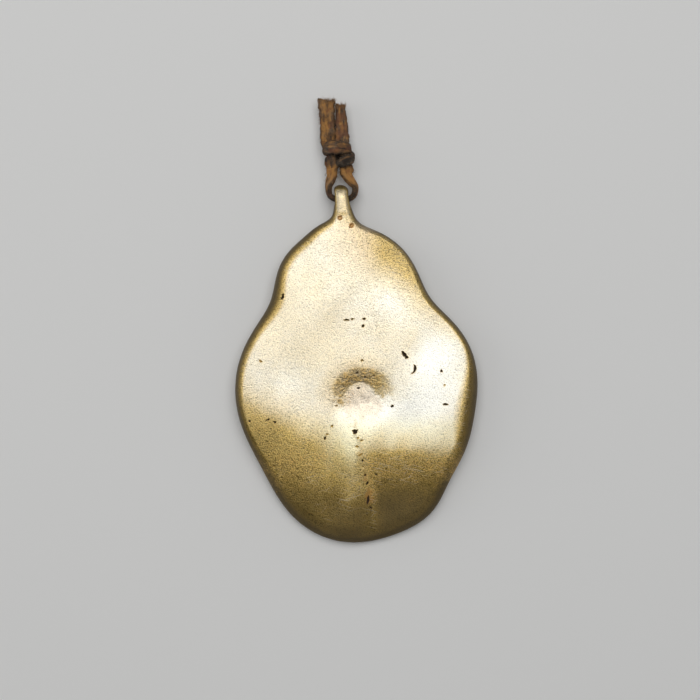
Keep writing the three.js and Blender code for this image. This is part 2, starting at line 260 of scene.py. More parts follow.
# the lace: its size, and its route from the left cut end through the knot and the eye to the
# right cut end. Each row of the route has a point, the way its flat side faces, its width, its
# thickness and how light the leather is drawn there: partly its own tone, partly painted shade,
# darkest inside the knot and where the lace runs through the eye.
lace = {
    "width": 2.4,
    "gap": 0.3,
    "knotLean": -0.45,
    "sides": 28,
    "step": 0.09,
    "corner": 2.7,
    "lowest": 0.03,
    "highest": 4.97,
    "slant": 0.3,
    "tear": 0.28,
    "tearRings": 6,
    "edgeWave": 0.05,
    "rough": 0.05,
    "fineRough": 0.028,
    "tightReach": (3.6, 5.0),
    "tightThinner": 0.15,
    "tightSmoother": 0.9,
}
leftEnd = [
    ((-0.3, 7.1, 0), (0, 0.1, -1), 3.0, 1.0, 0.75),
    ((-0.09, 3.55, 0), (0.1, 0, -1), 2.6, 1.15, 0.7),
    ((0, 0, 0), (0, 0, -1), 2.6, 1.2, 0.55),
]
leftStrand = [
    ((-1.95, 2.15, 0), (0, 0.1, -1), 2.4, 1.2, 0.4),
    ((-1.5, 1.4, -0.45), (-0.1, 0.2, -1), 1.8, 1.2, 0.25),
    ((-0.4, 1.3, -0.8), (0, 0.2, -1), 1.8, 1.2, 0.25),
    ((0.9, 1.25, -0.8), (0.4, 0.2, -1), 1.8, 1.2, 0.25),
    ((1.5, 1.2, -0.05), (1, 0.1, 0), 1.8, 1.2, 0.35),
    ((1.35, 1.2, 0.95), (0.8, 0.15, 0.6), 2.1, 1.2, 0.45),
    ((0.5, 1.3, 1.5), (0.15, 0.15, 1), 2.35, 1.2, 0.5),
    ((-0.8, 1.3, 1.6), (-0.1, 0.1, 1), 2.4, 1.2, 0.48),
    ((-1.95, 1.25, 1.1), (-0.7, 0.1, 0.7), 2.2, 1.2, 0.38),
    ((-2.35, 1.15, 0), (-1, 0, 0), 1.8, 1.2, 0.3),
    ((-2, 1.05, -1.1), (-0.7, 0, -0.7), 1.8, 1.2, 0.25),
    ((-0.9, 0.85, -1.52), (-0.1, 0, -1), 1.8, 1.2, 0.25),
    ((0.6, 0.5, -1.52), (0.1, 0, -1), 1.8, 1.2, 0.25),
    ((1.7, 0.15, -1.1), (0.7, 0, -0.7), 1.8, 1.2, 0.22),
    ((2.1, -0.25, 0), (1, -0.1, 0), 1.8, 1.2, 0.2),
    ((1.9, -0.6, 1.1), (0.8, -0.2, 0.6), 1.8, 1.2, 0.22),
    ((1.1, -0.95, 1.6), (0.2, -0.25, 1), 1.9, 1.2, 0.25),
    ((0.25, -1.3, 1), (0, -0.6, 0.8), 1.7, 1.15, 0.3),
    ((-0.15, -1.35, -0.1), (0, -1, 0), 1.5, 1.1, 0.2),
    ((-0.1, -1.05, -1.15), (0, -0.5, -0.85), 1.6, 1.15, 0.2),
    ((-0.45, -0.35, -1.5), (-0.2, 0, -1), 1.7, 1.2, 0.2),
    ((-1.05, 0.2, -1.05), (-0.7, 0.3, -0.7), 1.7, 1.2, 0.25),
    ((-1.4, -0.15, -0.25), (-0.75, 0, 0.6), 2.3, 1.4, 0.3),
    ((-1.35, -1.1, 0.25), (-0.5, 0, 0.85), 2.5, 1.3, 0.45),
    ((-1.23, -2.15, 0.1), (-0.55, 0, 0.8), 2.3, 1.15, 0.85),
]
loop = [
    ((-1.68, 4.95, 0), (-0.65, 0, 0.75), 2.25, 1.15, 1.0),
    ((-1.7, 4.3, 0), (-0.6, 0, 0.8), 2.2, 1.2, 0.95),
    ((-1.95, 3.25, 0), (-0.7, -0.1, 0.7), 2.25, 1.25, 0.8),
    ((-2.28, 2, 0), (-1, 0, 0.25), 2.4, 1.3, 0.55),
    ((-2.05, 0.6, 0), (-0.9, -0.4, 0), 2.4, 1.2, 0.45),
    ((-1.15, 0, 0), (-0.3, -1, 0), 2.4, 1.2, 0.4),
    ((0, 0, 0), (0, -1, 0), 2.4, 1.2, 0.4),
    ((1.15, 0, 0), (0.3, -1, 0), 2.4, 1.2, 0.4),
    ((2.05, 0.6, 0), (0.9, -0.4, 0), 2.4, 1.2, 0.5),
    ((2.28, 2, 0), (1, 0.1, 0.25), 2.4, 1.25, 0.65),
    ((1.4, 3.25, 0), (0.65, 0.3, 0.75), 2.3, 1.2, 0.9),
    ((0.82, 4.3, 0), (0.4, 0.1, 0.9), 2.4, 1.2, 1.0),
    ((0.78, 4.95, 0), (0.3, 0, 0.95), 2.4, 1.15, 0.95),
]
rightStrand = [
    ((1.23, -2.15, 0.1), (0.2, 0, 1), 2.3, 1.15, 0.75),
    ((1.05, -1, -0.15), (0.1, 0, 1), 1.9, 1.15, 0.35),
    ((0.75, 0.2, -0.2), (0, 0, 1), 1.9, 1.15, 0.3),
    ((0.5, 1.3, -0.05), (0, 0, 1), 1.9, 1.15, 0.35),
    ((0.45, 2.15, 0), (0.1, 0, 1), 2.2, 1.15, 0.5),
]
rightEnd = [
    ((0, 0, 0), (0.1, 0, 1), 2.4, 1.15, 0.65),
    ((-0.09, 3.1, 0), (0.15, 0, 1), 2.15, 1.1, 0.6),
    ((-0.3, 6.2, 0), (0.3, 0, 1), 1.5, 0.9, 0.55),
]
knotFoot = min(row[0][1] for row in leftStrand)
knotSide = max(row[0][2] for row in leftStrand) + 0.8
knot = np.array([eye[0] + lace["knotLean"], eye[1] + loop[0][0][1] + lace["gap"] - knotFoot, knotSide])


def placedRows(rows, start):
    return [(*(np.array(point) + start), *facing, *rest) for point, facing, *rest in rows]


def laceRows():
    up = np.array([0, lace["gap"], 0])
    leftTop = knot + np.array(leftStrand[0][0]) + up
    rightTop = knot + np.array(rightStrand[-1][0]) + up
    rows = placedRows(leftEnd, leftTop) + placedRows(leftStrand, knot) + placedRows(loop, eye)
    return np.array(rows + placedRows(rightStrand, knot) + placedRows(rightEnd, rightTop))


# a smooth run through rows of numbers, the first three of which are a point
def smoothRun(rows, step):
    first = 2 * rows[0] - rows[1]
    last = 2 * rows[-1] - rows[-2]
    rows = np.vstack([first, rows, last])
    run = []
    for at in range(1, len(rows) - 2):
        p = rows[at - 1:at + 3]
        gaps = np.sqrt(np.linalg.norm(np.diff(p[:, :3], axis=0), axis=1))
        t = runningSum(np.maximum(gaps, 1e-3))
        count = max(2, round(np.linalg.norm(p[2, :3] - p[1, :3]) / step))
        for s in np.linspace(t[1], t[2], count, endpoint=False):
            a = [mixed(p[k], p[k + 1], (s - t[k]) / (t[k + 1] - t[k])) for k in range(3)]
            b = [mixed(a[k], a[k + 1], (s - t[k]) / (t[k + 2] - t[k])) for k in range(2)]
            run.append(mixed(b[0], b[1], (s - t[1]) / (t[2] - t[1])))
    run.append(rows[-2])
    return np.array(run)


def mixed(first, second, share):
    return first + (second - first) * share


def ease(low, high, value):
    share = np.clip((value - low) / (high - low), 0, 1)
    return share * share * (3 - 2 * share)


# seeded sum of plane waves through space, about -1 to 1
def ripples(places, seed, longest, shortest, count=14):
    rng = np.random.default_rng(seed)
    total = np.zeros(len(places))
    for _ in range(count):
        way = rng.normal(size=places.shape[1])
        way /= np.linalg.norm(way)
        wave = rng.uniform(shortest, longest)
        total += np.sin(2 * math.pi * (places @ way) / wave + rng.uniform(0, 2 * math.pi))
    return total / math.sqrt(count)


def runningSum(steps):
    return np.concatenate([[0], np.cumsum(steps)])


def unit(vectors):
    return vectors / np.maximum(np.linalg.norm(vectors, axis=-1, keepdims=True), 1e-9)


def makeLace(material):
    run = smoothRun(laceRows(), lace["step"])
    points = run[:, :3]
    along = unit(np.gradient(points, axis=0))
    facing = run[:, 3:6]
    facing = unit(facing - along * np.sum(facing * along, axis=1, keepdims=True))
    across = np.cross(along, facing)
    width, thick, tone = run[:, 6], run[:, 7], run[:, 8]
    sides = lace["sides"]
    angles = np.linspace(0, 2 * math.pi, sides, endpoint=False)
    power = 2 / lace["corner"]
    u, v = [np.sign(part) * np.abs(part) ** power for part in (np.cos(angles), np.sin(angles))]
    distance = runningSum(np.linalg.norm(np.diff(points, axis=0), axis=1))
    # the sides of a cut strip wander in and out a little
    edgeWave = ripples(distance[:, None], 11, 3.0, 0.8)[:, None] * lace["edgeWave"]
    spread = 1 + edgeWave * np.sign(u)[None, :] * np.abs(u)[None, :]
    skin = points[:, None, :] + across[:, None, :] * (width[:, None] / 2 * u * spread)[:, :, None]
    skin = skin + facing[:, None, :] * (thick[:, None] / 2 * v)[:, :, None]
    outward = unit(skin - points[:, None, :])
    flat = skin.reshape(-1, 3)
    # where it turns through the eye it is drawn tight: smoother and a little thinner
    tight = (1 - ease(*lace["tightReach"], points[:, 1] - eye[1]))[:, None]
    rough = lace["rough"] * ripples(flat, 12, 1.6, 0.5)
    rough = rough + lace["fineRough"] * ripples(flat, 13, 0.5, 0.22, 20)
    rough = rough.reshape(len(points), sides) * (1 - lace["tightSmoother"] * tight)
    skin = skin + outward * rough[:, :, None]
    skin = skin + (points[:, None, :] - skin) * (lace["tightThinner"] * tight)[:, :, None]
    # torn tips: each corner of the cut reaches further or less far
    for tip, sign in ((0, -1), (-1, 1)):
        tear = ripples(np.stack([u, v], axis=1) * 1.3, 14 + sign, 0.9, 0.4)
        tear = tear * lace["tear"] - lace["slant"] * u
        for back in range(lace["tearRings"]):
            ring = tip - sign * back
            skin[ring] += along[ring] * sign * (tear * (1 - back / lace["tearRings"]))[:, None]
    vertices = np.vstack([skin.reshape(-1, 3), skin[0].mean(0), skin[-1].mean(0)])
    vertices[:, 2] = np.clip(vertices[:, 2], lace["lowest"], lace["highest"])
    faces = tubeFaces(len(points), sides)
    firstTip, lastTip = len(vertices) - 2, len(vertices) - 1
    low = firstTip - sides
    for side in range(sides):
        turn = (side + 1) % sides
        faces.append((firstTip, turn, side))
        faces.append((lastTip, low + side, low + turn))
    piece = newPiece("leather_thong", vertices, faces, material)
    for name, values in (("rim", np.abs(u) ** 3), ("side", u)):
        storeValues(piece.data, name, np.append(np.tile(values, len(points)), [0, 0]))
    for name, values in (("tone", tone), ("run", distance)):
        storeValues(piece.data, name, np.append(np.repeat(values, sides), values[[0, -1]]))
    return piece, run, along, across, facing, distance[-1]


# fine hairs of the leather at the two torn tips and here and there along its edges
fuzz = {
    "atTips": 800,
    "alongEdges": 900,
    "tipLength": (0.25, 1.0),
    "edgeLength": (0.12, 0.45),
    "thick": 0.065,
    "taper": 0.75,
    "bend": (0.1, 0.6),
    "rootDepth": (0.1, 0.7),
    "rootReach": 0.92,
    "edgeReach": 0.47,
    "joints": 5,
    "patchSize": 0.0008,
    "roughness": 0.9,
}


def makeFuzz(material, run, along, across, facing):
    rng = np.random.default_rng(21)
    points, width, thick = run[:, :3], run[:, 6], run[:, 7]
    ends = ((0, -1), (len(points) - 1, 1))
    vertices, faces, tones = [], [], []

    def addHair(root, way, length, tone):
        bend = unit(rng.normal(size=3)) * rng.uniform(*fuzz["bend"])
        side = unit(np.cross(way, rng.normal(size=3)))
        other = np.cross(way, side)
        count = fuzz["joints"]
        start = len(vertices)
        for joint in range(count):
            share = joint / (count - 1)
            middle = root + way * length * share + bend * length * share ** 2
            r = fuzz["thick"] / 2 * (1 - fuzz["taper"] * share)
            for k in range(3):
                turn = 2 * math.pi * k / 3
                vertices.append(middle + (side * math.cos(turn) + other * math.sin(turn)) * r)
                tones.append(tone)
        faces.extend(tubeFaces(count, 3, start))
        top = start + (count - 1) * 3
        faces.append((start, start + 2, start + 1))
        faces.append((top, top + 1, top + 2))

    for tip, sign in ends:
        for _ in range(fuzz["atTips"]):
            u, v = rng.uniform(-fuzz["rootReach"], fuzz["rootReach"], 2)
            root = points[tip] + across[tip] * u * width[tip] / 2 + facing[tip] * v * thick[tip] / 2
            root = root - along[tip] * sign * rng.uniform(*fuzz["rootDepth"])
            way = along[tip] * sign + across[tip] * (u * 0.5 + rng.normal() * 0.25)
            way = unit(way + facing[tip] * (v * 0.4 + rng.normal() * 0.2))
            length = rng.uniform(*fuzz["tipLength"]) * rng.uniform(0.4, 1)
            addHair(root, way, length, rng.uniform(0.3, 1))
    for _ in range(fuzz["alongEdges"]):
        at = rng.integers(4, len(points) - 4)
        edge = rng.choice([-1, 1])
        v = rng.uniform(-0.6, 0.6)
        root = points[at] + across[at] * edge * width[at] * fuzz["edgeReach"]
        root = root + facing[at] * v * thick[at] / 2
        way = unit(across[at] * edge + along[at] * rng.normal() * 0.9 + facing[at] * rng.normal() * 0.4)
        addHair(root, way, rng.uniform(*fuzz["edgeLength"]), rng.uniform(0.2, 0.8))
    vertices = np.array(vertices)
    vertices[:, 2] = np.clip(vertices[:, 2], lace["lowest"], lace["highest"])
    piece = newPiece("thong_fuzz", vertices, faces, material)
    storeValues(piece.data, "tone", tones)
    return piece


# worn brown leather: golden where it is rubbed, dark along its cut edges, and drawn darker
# inside the knot and through the eye, which is painted shade
leather = {
    "dark": (0.022, 0.014, 0.008),
    "brown": (0.125, 0.062, 0.023),
    "gold": (0.42, 0.2, 0.05),
    "grey": (0.21, 0.165, 0.12),
    "red": (0.17, 0.055, 0.025),
    "roughness": 0.85,
    "fibreAlong": 0.35,
    "fibreAcross": 1.8,
    "patchSize": 0.0013,
    "grainSize": 0.00018,
    "greySize": 0.0019,
    "greyed": 0.5,
    "redSize": 0.0015,
    "reddened": 0.5,
    "redEnd": (50, 56),
    "edgeDark": 0.88,
    "bumpDepth": 0.00018,
}


def leatherFinish():
    material, maker = newFinish("leather")
    place = maker.place()
    tone = maker.attribute("tone")
    rim = maker.attribute("rim")
    along = maker.attribute("run")
    inputs = {"X": along * leather["fibreAlong"], "Y": maker.attribute("side") * leather["fibreAcross"]}
    strip = maker.node("ShaderNodeCombineXYZ", {}, inputs)
    fibres = maker.noise(strip, 1, 4, 0.6, 0.6)
    patches = maker.noise(place, leather["patchSize"], 2, 0.5, 0.3)
    grain = maker.noise(place, leather["grainSize"], 3, 0.65)
    change = (fibres - 0.5) * 1.7 + (patches - 0.5) * 0.9 + (grain - 0.5) * 0.4
    # painted shade: tone draws the leather darker inside the knot and through the eye
    light = maker.ramp(tone + change, 0.1, 1.1)
    colour = maker.blend(maker.ramp(light, 0, 0.45), leather["dark"], leather["brown"])
    colour = maker.blend(maker.ramp(light, 0.35, 1.0), colour, leather["gold"])
    greyed = maker.ramp(maker.noise(place, leather["greySize"], 2) - tone * 0.15, 0.36, 0.6)
    greyed = greyed * maker.ramp(grain, 0.35, 0.65)
    colour = maker.blend(greyed * leather["greyed"], colour, leather["grey"])
    # the end that lies on the right is the reddest
    rightward = maker.ramp(along, *leather["redEnd"]) * 0.15
    reddish = maker.ramp(maker.noise(place, leather["redSize"], 2, 0.5, 0.6) + rightward, 0.52, 0.7)
    colour = maker.blend(reddish * leather["reddened"], colour, leather["red"])
    edge = maker.ramp(rim, 0.2, 0.95) * maker.ramp(patches + (fibres - 0.5) * 0.6, 0.3, 0.6)
    colour = maker.blend(edge * leather["edgeDark"], colour, leather["dark"])
    normal = maker.bump(fibres * 0.8 + grain * 0.7 + patches * 0.6, leather["bumpDepth"])
    roughness = leather["roughness"] + (grain - 0.5) * 0.2
    finishShader(maker, {"Base Color": colour, "Roughness": roughness, "Normal": normal})
    return material


def fuzzFinish():
    material, maker = newFinish("leather_fuzz")
    tone = maker.attribute("tone")
    colour = maker.blend(tone, leather["brown"], leather["gold"])
    colour = maker.blend(maker.noise(maker.place(), fuzz["patchSize"]), colour, leather["grey"])
    finishShader(maker, {"Base Color": colour, "Roughness": fuzz["roughness"]})
    return material


leatherMaterial = leatherFinish()
thong, laceRun, laceAlong, laceAcross, laceFacing, laceLength = makeLace(leatherMaterial)
hairs = makeFuzz(fuzzFinish(), laceRun, laceAlong, laceAcross, laceFacing)
lacePoints = laceRun[:, :3]
for piece in (thong, hairs):
    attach(piece, "thong")
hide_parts("thong_loop", "thong_knot", "thong_end_left", "thong_end_right")
round(laceLength * mm, 4)
[tuple(point * mm) for point in lacePoints[::4]] + [tuple(lacePoints[-1] * mm)]
print("lace made:", round(laceLength, 1), "mm long")


def lobeDistance(lobes, blend, x, y):
    total = 0
    for lobeX, lobeY, r in lobes:
        total = total + np.exp(-(np.hypot(x - lobeX, y - lobeY) - r) / blend)
    return -blend * np.log(total)


# crown, left shoulder, left flank, right flank, right hip, foot, heel: centre and radius
plateLobes = [
    (0.2, crownTop - 10.05, 10.05),
    (-7.4, crownTop - 8.15, 4.4),
    (16.15 - sideX, -4.2, 16),
    (sideX - 12.15, -1.9, 11.45),
    (sideX - 10.05, footY + 19.3, 6.7),
    (-0.8, footY + 13.4, 13.1),
    (8.9, footY + 8.9, 3),
]


def plateDistance(x, y):
    return lobeDistance(plateLobes, casting["lobeBlend"], x, y)


# how far the border of a shape lies from a point inside it
def reachOf(shapeDistance, x, y, angle):
    inside, outside = 0, casting["length"]
    for _ in range(40):
        middle = (inside + outside) / 2
        if shapeDistance(x + middle * math.cos(angle), y + middle * math.sin(angle)) > 0:
            outside = middle
        else:
            inside = middle
    return inside


midX, midY = casting["middle"]
shoulderY = reachOf(plateDistance, neck["x"], 0, math.pi / 2)
footEdge = midY - reachOf(plateDistance, midX, midY, -math.pi / 2)
tipY = eye[1] + neck["ringR"]
tipStart = tipY - neck["width"] / 2
rootY = crownTop - neck["rootDrop"]


def neckHalf(y):
    over = np.maximum(y - tipStart, 0) / (tipY - tipStart)
    return neck["width"] / 2 * np.sqrt(np.maximum(1 - over ** 2, 0))


# distance to the outline of the whole casting, negative inside it
def outlineDistance(x, y):
    leanX = neck["x"] + neck["lean"] * (np.maximum(y, rootY) - eye[1])
    strip = np.hypot(x - leanX, np.minimum(y - rootY, 0)) - neckHalf(y)
    strip = np.where(y > tipY, np.maximum(strip, y - tipY), strip)
    root = lobeDistance([(neck["rootX"], rootY, neck["rootR"])], neck["blend"], x, y)
    blend = neck["blend"]
    total = np.exp(-plateDistance(x, y) / blend) + np.exp(-root / blend) + np.exp(-strip / blend)
    return -blend * np.log(total)


def softHinge(distance, softness):
    return (distance + np.hypot(distance, softness)) / 2


# the deep dent: a floor, and walls that steepen down to it. reach is how far the walls run out
# and floor how wide the floor is, to the right, up, left and down
dent = {
    "x": 0.8,
    "y": -5.6,
    "depth": 0.5,
    "reach": (7.5, 6, 6.4, 7.4),
    "floor": (2, 2.5, 2.6, 1),
    "steepening": 2.4,
    "rounding": 1.6,
}
# a shallow worn hollow at the left: place, half widths and depth
hollow = {"x": -8.5, "y": -1.5, "halfX": 7.5, "halfY": 9, "depth": 0.2}


# distance from the middle of the dent, and its floor's and its walls' reach in that direction
def dentRing(x, y):
    dx, dy = x - dent["x"], y - dent["y"]
    far = np.maximum(np.hypot(dx, dy), 1e-6)
    shares = [(np.maximum(part, 0) / far) ** 2 for part in (dx, dy, -dx, -dy)]
    widths = [sum(map(np.multiply, dent[name], shares)) for name in ("floor", "reach")]
    return far, *widths


def hollowDepth(x, y):
    far, floor, reach = dentRing(x, y)
    wall = np.clip((reach - far) / (reach - floor), 0, 1) ** dent["steepening"]
    wall = 1 - (1 - wall) ** dent["rounding"]
    u, v = (x - hollow["x"]) / hollow["halfX"], (y - hollow["y"]) / hollow["halfY"]
    return dent["depth"] * wall + hollow["depth"] * np.exp(-u * u - v * v)


# how far a point lies below the brow, a line across the plate: 0 above it, 1 at the foot
def browRun(x, y):
    browX, browY = casting["brow"]
    offX = x - browX
    swayed = np.hypot(offX, casting["browBend"]) - casting["browBend"]
    riseLeft, riseRight = casting["browRise"]
    rise = np.where(offX > 0, riseRight, riseLeft) * swayed
    ridge = np.exp(-((x - casting["ridgeX"]) / casting["ridgeWidth"]) ** 2)
    rise = rise - casting["ridgeDrop"] * ridge
    side = ease(-casting["browBend"], casting["browBend"], offX)
    softness = mixed(*casting["browSoft"], side)
    return softHinge(browY + rise - y, softness) / (browY - footEdge)


# level above the brow, and falling ever more steeply below it
def faceHeight(x, y):
    run = browRun(x, y)
    side = ease(-casting["footBlend"], casting["footBlend"], x - casting["brow"][0])
    footThick = mixed(*casting["footThick"], side)
    bow = mixed(*casting["footBow"], side)
    fall = (casting["thick"] - footThick) * mixed(run, run ** 2, bow)
    return casting["thick"] - fall - hollowDepth(x, y)


# width over which the edge rolls down, by direction in degrees
edgeRolls = [(-10, 2.3), (24, 1), (66, 0.9), (92, 0.9), (150, 1.3), (215, 1.3), (268, 3.2), (310, 2.2)]


# a width that changes round the middle, out of rows of a direction and the width there
def widthRound(rows, x, y):
    turned = (np.degrees(np.arctan2(y - midY, x - midX)) + 10) % 360 - 10
    places = [at for at, _ in rows] + [rows[0][0] + 360]
    widths = [width for _, width in rows] + [rows[0][1]]
    total = np.zeros_like(turned)
    for low, high, first, second in zip(places, places[1:], widths, widths[1:]):
        share = (1 - np.cos(math.pi * (turned - low) / (high - low))) / 2
        total = np.where((turned >= low) & (turned <= high), mixed(first, second, share), total)
    return total


# 0 at the rim, rising to 1 a width inside it: round at a power of 2, flatter on top above that
def roundFall(inset, width, power=2):
    left = 1 - np.clip(inset / width, 0, 1)
    return (1 - left ** power) ** (1 / power)


# face, rim and back of the casting over points of its plan, and how far it has rolled there
def castingHeights(x, y):
    inset = -outlineDistance(x, y)
    necked = ease(shoulderY - neck["width"], shoulderY + neck["width"] / 2, y)
    rise = ease(shoulderY, eye[1], y)
    swell = np.sqrt(np.maximum(neck["ringR"] ** 2 - (y - eye[1]) ** 2, 0))
    half = np.where(y > eye[1], swell, mixed(neck["stemThick"] / 2, neck["ringR"], rise))
    middle = mixed(neck["stemThick"] / 2 + neck["stemLift"], eye[2], rise)
    plateFace = faceHeight(x, y)
    face = mixed(plateFace, middle + half, necked)
    rim = mixed(casting["rimShare"] * plateFace, middle, necked)
    back = mixed(0, middle - half, necked)
    wide = np.maximum(neckHalf(y), 1e-6)
    roundness = mixed(2, neck["flatness"], necked)
    faceFall = roundFall(inset, mixed(widthRound(edgeRolls, x, y), wide, necked), roundness)
    backFall = roundFall(inset, mixed(casting["underRound"], wide, necked))
    return mixed(rim, face, faceFall), rim, mixed(rim, back, backFall), faceFall, backFall


# pits of the casting: place, length, width, tilt in degrees, depth, and the bend of a bent one
pits = [
    (-12.62, 11.58, 1.1, 0.3, 78, 0.4),
    (-1.7, 7.62, 0.8, 0.28, 4, 0.3),
    (-0.75, 7.75, 0.4, 0.26, 20, 0.25),
    (1.31, 7.79, 0.45, 0.34, 0, 0.3),
    (1.14, 6.59, 0.55, 0.3, 60, 0.3),
    (8.2, 1.75, 1.15, 0.5, -58, 0.45, 0.1),
    (8.62, 1.2, 0.5, 0.4, 0, 0.35),
    (9.91, -0.81, 1.55, 0.36, 82, 0.4, 0.35),
    (14.55, -1.15, 0.42, 0.36, 0, 0.3),
    (15.07, -3.56, 0.35, 0.3, 0, 0.15),
    (15.24, -6.83, 0.85, 0.3, 6, 0.35),
    (6.12, -7.17, 0.5, 0.36, 30, 0.35),
    (-16.41, 0.57, 0.6, 0.24, -40, 0.2),
    (-18.3, -9.75, 0.35, 0.3, 0, 0.28),
    (-15.2, -9.5, 0.6, 0.26, 20, 0.33),
    (-14.0, -9.9, 0.55, 0.26, -10, 0.33),
    (-4.2, -10.6, 0.35, 0.3, 0, 0.2),
    (-5.4, -12.68, 0.45, 0.32, 60, 0.3),
    (-5.06, -11.99, 0.3, 0.24, 0, 0.2),
    (-0.24, -11.5, 0.95, 0.62, 10, 0.45, 0.1),
    (0.25, -12.6, 0.28, 0.26, 0, 0.2),
    (0.1, -14.05, 0.38, 0.3, 0, 0.17),
    (0.7, -15.5, 0.7, 0.26, 32, 0.2),
    (0.88, -13.0, 0.32, 0.26, 0, 0.24),
    (1.05, -16.5, 0.42, 0.28, 60, 0.28),
    (1.14, -17.6, 0.32, 0.28, 0, 0.12),
    (1.48, -19.0, 0.45, 0.28, 80, 0.28),
    (1.85, -20.4, 0.6, 0.3, 70, 0.3),
    (2.5, -24.7, 0.5, 0.28, -40, 0.26),
    (3.37, -18.87, 0.45, 0.34, 0, 0.25),
    (2.0, -23.34, 1.35, 0.42, 82, 0.4, 0.1),
    (-14.17, -17.49, 0.32, 0.26, 0, 0.2),
    (0.1, -1.5, 0.45, 0.3, 0, 0.25),
    (1.5, -2.2, 0.42, 0.34, 30, 0.3),
    (3.0, -2.0, 0.4, 0.28, 10, 0.2),
    (0.35, -4.1, 0.45, 0.34, 10, 0.25),
    (0.96, 0.7, 0.42, 0.28, 0, 0.2),
    (-3.4, -7.1, 0.4, 0.3, 0, 0.2),
    (-2.82, 25.08, 0.95, 0.6, 15, 0.2),
    (-0.84, 23.79, 1.0, 0.5, 60, 0.2),
]
relief = {
    "wave": 0.05,
    "dentWave": 0.01,
    "dentGrain": 0.004,
    "furrowWidth": 0.6,
    "furrowDepth": 0.03,
    "furrowWave": 0.008,
    "fine": 0.0015,
    "creaseStep": 0.13,
    "backHollow": 0.06,
    "gridStep": 0.26,
    "workedStep": 0.14,
    "backStep": 0.6,
    "outlineStep": 0.2,
    "pitStep": 0.07,
    "insets": [0.012, 0.045, 0.1, 0.175, 0.275, 0.4, 0.56],
}
# the worn crease that runs down from the dent
creaseLine = [(-0.7, -9.8), (-0.1, -12.5), (0.4, -15.5), (1.1, -18.5), (1.8, -21.5), (2.1, -24.6)]


def creaseDistance(x, y):
    nearest = np.full(np.shape(x), 1e3)
    for (ax, ay), (bx, by) in zip(creaseLine, creaseLine[1:]):
        dx, dy = bx - ax, by - ay
        share = np.clip(((x - ax) * dx + (y - ay) * dy) / (dx * dx + dy * dy), 0, 1)
        nearest = np.minimum(nearest, np.hypot(x - ax - share * dx, y - ay - share * dy))
    return nearest


# how far right of the crease a point lies
def creaseOffset(x, y):
    return x - np.interp(-y, [-point[1] for point in creaseLine], [point[0] for point in creaseLine])


# how deep the pits are over each point, and how much dirt they hold there
def pitField(x, y):
    depthField = np.zeros(len(x))
    dirt = np.zeros(len(x))
    for index, (pitX, pitY, long, short, tilt, depth, *bends) in enumerate(pits):
        near = np.flatnonzero(np.hypot(x - pitX, y - pitY) < 1.6 * long + 0.3)
        dx, dy = x[near] - pitX, y[near] - pitY
        turn = math.radians(tilt)
        u = (dx * math.cos(turn) + dy * math.sin(turn)) / (long / 2)
        v = (dy * math.cos(turn) - dx * math.sin(turn) - sum(bends) * (u * u - 0.4)) / (short / 2)
        angle = np.arctan2(v, u)
        rng = np.random.default_rng(100 + index)
        ragged = 1
        for order in (2, 3, 5):
            ragged = ragged + rng.uniform(0.06, 0.16) * np.sin(order * angle + rng.uniform(0, 6.3))
        out = np.hypot(u, v) / ragged
        depthField[near] = np.maximum(depthField[near], depth * (1 - ease(0.45, 1.15, out)))
        soiled = ease(0.1, 0.35, depth) * (1 - ease(0.8, 1.35, out))
        dirt[near] = np.maximum(dirt[near], soiled)
    return depthField, dirt


def faceRelief(x, y, faceFall):
    places = np.stack([x, y], axis=1)
    wave = relief["wave"] * (ripples(places, 31, 16, 7, 10) - 0.9)
    far, _, reach = dentRing(x, y)
    inDent = 1 - ease(0.4, 0.9, far / reach)
    rough = relief["dentWave"] * ripples(places, 32, 2.6, 1.3)
    rough = inDent * (rough + relief["dentGrain"] * ripples(places, 33, 1.0, 0.5))
    furrow = np.exp(-((creaseDistance(x, y) / relief["furrowWidth"]) ** 2))
    furrow = furrow * (relief["furrowDepth"] + relief["furrowWave"] * ripples(places, 34, 4, 2))
    fine = relief["fine"] * ripples(places, 35, 1.8, 0.7)
    run = browRun(x, y)
    step = relief["creaseStep"] * ease(-0.2, 0.8, creaseOffset(x, y))
    step = step * ease(0.05, 0.45, run) * (1 - ease(0.6, 0.95, run))
    depth, _ = pitField(x, y)
    return (wave + rough - furrow + fine - step - depth) * np.clip(faceFall * 1.6 - 0.6, 0, 1)


# points along the outline, counter-clockwise: round the tip of the neck, then down its left side
def traceOutline(step):
    capX = neck["x"] + neck["lean"] * (tipStart - eye[1])
    trace = []
    for turn in np.linspace(0, math.pi, 24):
        reach = reachOf(outlineDistance, capX, tipStart, turn)
        trace.append(np.array([capX + reach * math.cos(turn), tipStart + reach * math.sin(turn)]))
    nudge = 1e-4
    point = trace[-1]
    while len(trace) < 4000:
        here = outlineDistance(point[0], point[1])
        slopeX = (outlineDistance(point[0] + nudge, point[1]) - here) / nudge
        slopeY = (outlineDistance(point[0], point[1] + nudge) - here) / nudge
        steep = math.hypot(slopeX, slopeY)
        ahead = np.array([-slopeY, slopeX]) / steep * step
        point = point + ahead - np.array([slopeX, slopeY]) * here / steep ** 2
        if np.hypot(*(point - trace[0])) < 0.75 * step:
            break
        trace.append(point)
    return np.array(trace)


# places inside the outline, a border away from it, that a test keeps
def hexGrid(step, border, keep):
    rows = []
    lift = step * math.sqrt(3) / 2
    for at in range(math.ceil(casting["length"] / lift)):
        y = footY + at * lift
        shift = (at % 2) * step / 2
        x = np.arange(-sideX, sideX, step) + shift
        rows.append(np.stack([x, np.full(len(x), y)], axis=1))
    x, y = np.vstack(rows).T
    kept = (outlineDistance(x, y) < -border) & keep(x, y)
    return np.stack([x, y], axis=1)[kept]


